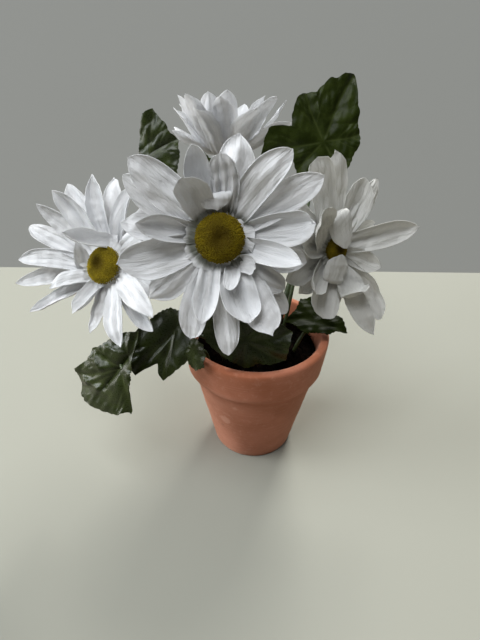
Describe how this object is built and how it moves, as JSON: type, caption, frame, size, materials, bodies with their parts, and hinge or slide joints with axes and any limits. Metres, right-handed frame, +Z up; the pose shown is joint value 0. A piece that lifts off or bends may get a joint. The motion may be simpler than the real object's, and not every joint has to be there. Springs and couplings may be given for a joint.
{
  "type": "potted artificial daisy",
  "caption": "White fabric daisy heads with yellow centres and lobed green leaves on wired stems, set in moss in a small clay pot that stands on its foot.",
  "frame": {"origin": "centre of the pot's foot, on the surface it stands on", "axes": "+Z up, -Y towards the largest flower head, +X to that head's right as it is looked at"},
  "size_m": [0.2112, 0.1642, 0.1937],
  "materials": {
    "clay": "unglazed terracotta, fine grain, matt",
    "moss": "dark shredded fibre",
    "stem": "moulded green plastic over wire",
    "petal": "stiffened white polyester, satin",
    "centre": "beaded mustard yellow flock",
    "leaf": "coated fabric with pressed veins, low sheen"
  },
  "bodies": {
    "root": {"pot": "clay", "moss": "moss", "stem_front": "stem", "calyx_front": "stem", "petals_back_front": "petal", "petals_middle_front": "petal", "petals_front_front": "petal", "centre_front": "centre", "stem_left": "stem", "calyx_left": "stem", "petals_back_left": "petal", "petals_middle_left": "petal", "petals_front_left": "petal", "centre_left": "centre", "stem_right": "stem", "calyx_right": "stem", "petals_back_right": "petal", "petals_middle_right": "petal", "petals_front_right": "petal", "centre_right": "centre", "stem_back": "stem", "calyx_back": "stem", "petals_back_back": "petal", "petals_middle_back": "petal", "petals_front_back": "petal", "centre_back": "centre", "stalk_upper_right": "stem", "leaf_upper_right": "leaf", "stalk_upper_left": "stem", "leaf_upper_left": "leaf", "stalk_low_left": "stem", "leaf_low_left": "leaf", "stalk_mid_left": "stem", "leaf_mid_left": "leaf", "stalk_front": "stem", "leaf_front": "leaf", "stalk_rim": "stem", "leaf_rim": "leaf", "stalk_right": "stem", "leaf_right": "leaf", "stalk_between": "stem", "leaf_between": "leaf", "stalk_low_back": "stem", "leaf_low_back": "leaf"}
  },
  "joints": []
}
